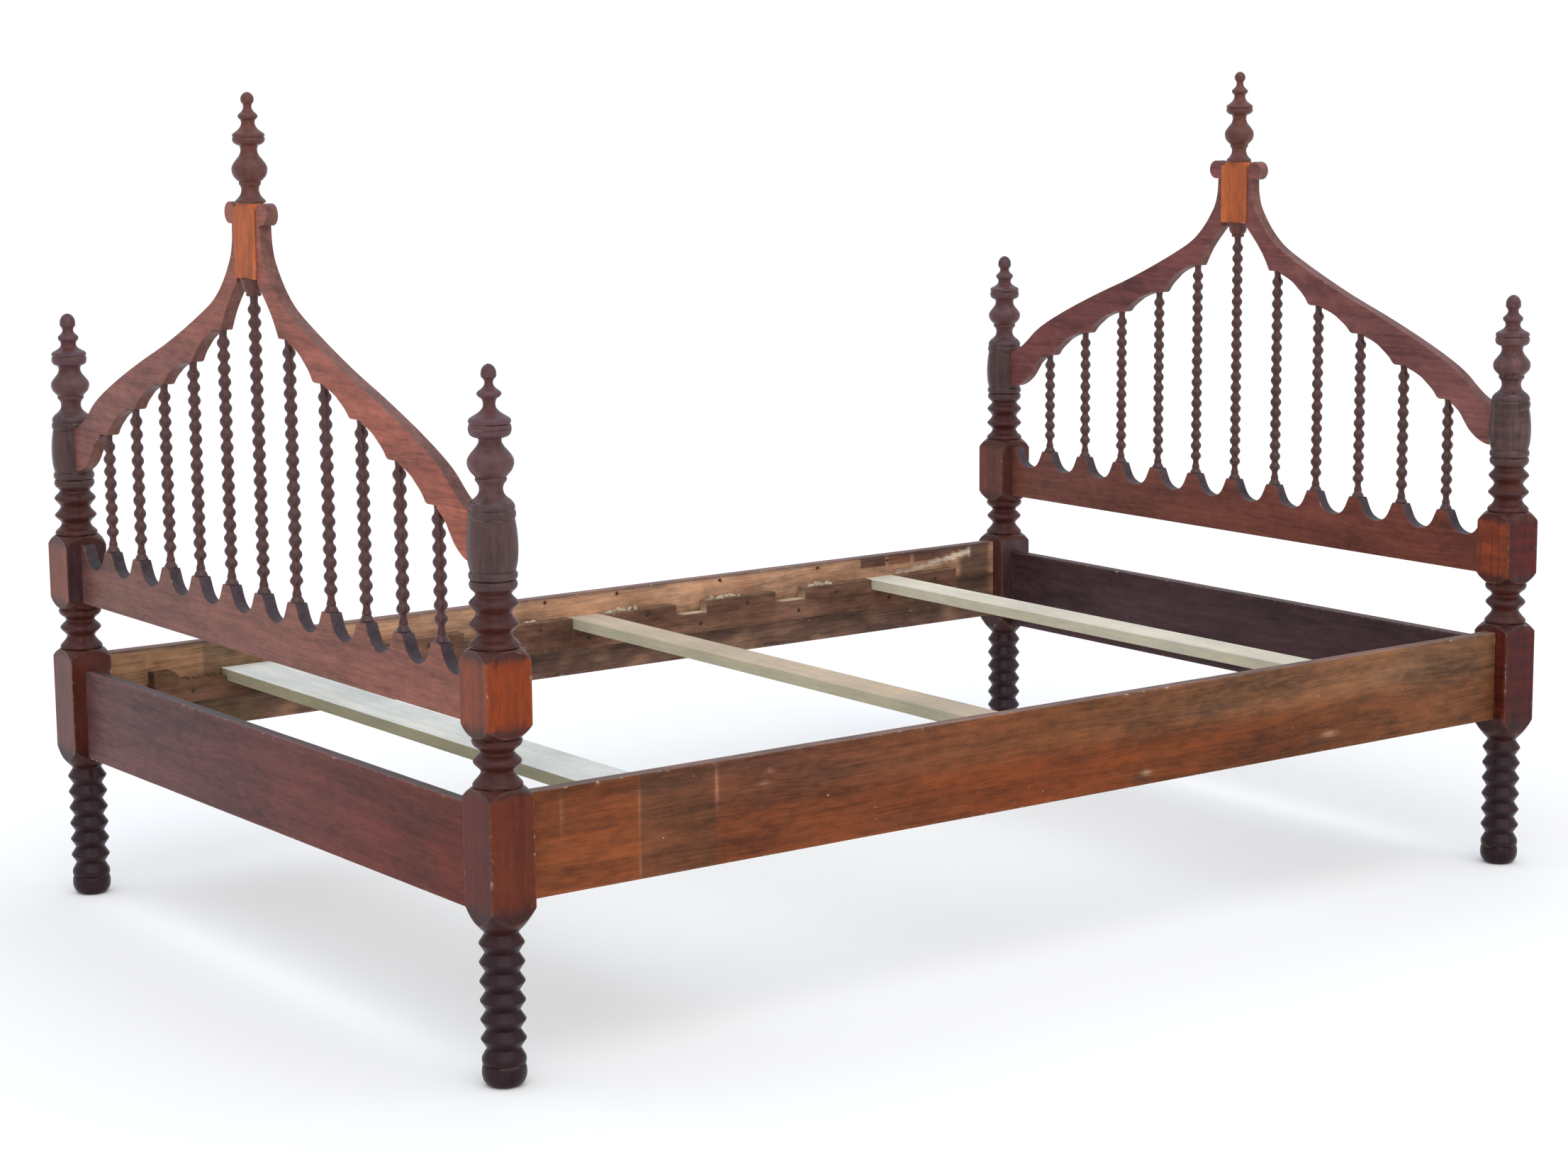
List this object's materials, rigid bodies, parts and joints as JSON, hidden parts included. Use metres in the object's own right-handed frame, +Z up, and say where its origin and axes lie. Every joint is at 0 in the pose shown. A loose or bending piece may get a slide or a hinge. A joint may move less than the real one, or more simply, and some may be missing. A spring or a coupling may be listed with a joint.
{
  "type": "bed frame",
  "caption": "Spool-turned low-post wooden bed frame with matching arched spindle ends, centre finials, side rails with notched ledgers and loose slats that lift out.",
  "frame": {"origin": "on the floor under the middle of the bed, halfway between the four posts", "axes": "+X along the bed towards the head end, +Y across it towards the far side rail, +Z up"},
  "size_m": [1.98, 1.328, 1.279],
  "materials": {
    "post_wood": "dark red-brown stained and varnished, semi-gloss, worn corners",
    "spindle_wood": "dark brown varnish, semi-gloss",
    "frame_wood": "red-brown varnish, semi-gloss",
    "end_rail_wood": "dark purple-brown varnish, satin",
    "side_rail_wood": "orange-brown varnish, satin, inner face unfinished",
    "block_wood": "orange-brown varnish",
    "finial_wood": "red-brown varnish, semi-gloss",
    "ledger_wood": "bare old softwood, dark, matt",
    "slat_wood": "bare pale new softwood, matt",
    "steel": "dull blackened steel"
  },
  "bodies": {
    "frame": {"arch_foot_far": "frame_wood", "arch_foot_near": "frame_wood", "arch_head_far": "frame_wood", "arch_head_near": "frame_wood", "centre_block_foot": "block_wood", "centre_block_head": "block_wood", "centre_drop_foot": "finial_wood", "centre_drop_head": "finial_wood", "centre_finial_foot": "finial_wood", "centre_finial_head": "finial_wood", "end_rail_foot": "end_rail_wood", "end_rail_head": "end_rail_wood", "gallery_rail_foot": "frame_wood", "gallery_rail_head": "frame_wood", "hook_pin_foot_far_1": "steel", "hook_pin_foot_far_2": "steel", "hook_pin_foot_near_1": "steel", "hook_pin_foot_near_2": "steel", "hook_pin_head_far_1": "steel", "hook_pin_head_far_2": "steel", "hook_pin_head_near_1": "steel", "hook_pin_head_near_2": "steel", "ledger_far": "ledger_wood", "ledger_near": "ledger_wood", "post_foot_far": "post_wood", "post_foot_near": "post_wood", "post_head_far": "post_wood", "post_head_near": "post_wood", "rail_iron_foot_far": "steel", "rail_iron_foot_near": "steel", "rail_iron_head_far": "steel", "rail_iron_head_near": "steel", "side_rail_far": "side_rail_wood", "side_rail_near": "side_rail_wood", "spindle_foot_01": "spindle_wood", "spindle_foot_02": "spindle_wood", "spindle_foot_03": "spindle_wood", "spindle_foot_04": "spindle_wood", "spindle_foot_05": "spindle_wood", "spindle_foot_06": "spindle_wood", "spindle_foot_07": "spindle_wood", "spindle_foot_08": "spindle_wood", "spindle_foot_09": "spindle_wood", "spindle_foot_10": "spindle_wood", "spindle_foot_11": "spindle_wood", "spindle_head_01": "spindle_wood", "spindle_head_02": "spindle_wood", "spindle_head_03": "spindle_wood", "spindle_head_04": "spindle_wood", "spindle_head_05": "spindle_wood", "spindle_head_06": "spindle_wood", "spindle_head_07": "spindle_wood", "spindle_head_08": "spindle_wood", "spindle_head_09": "spindle_wood", "spindle_head_10": "spindle_wood", "spindle_head_11": "spindle_wood"},
    "slat_1": {"slat_1": "slat_wood"},
    "slat_2": {"slat_2": "slat_wood"},
    "slat_3": {"slat_3": "slat_wood"}
  },
  "joints": [
    {"name": "slat_1_lift", "type": "slide", "parent": "frame", "child": "slat_1", "axis": [0, 0, 1], "range_m": [0, 0.2]},
    {"name": "slat_2_lift", "type": "slide", "parent": "frame", "child": "slat_2", "axis": [0, 0, 1], "range_m": [0, 0.2]},
    {"name": "slat_3_lift", "type": "slide", "parent": "frame", "child": "slat_3", "axis": [0, 0, 1], "range_m": [0, 0.2]}
  ]
}
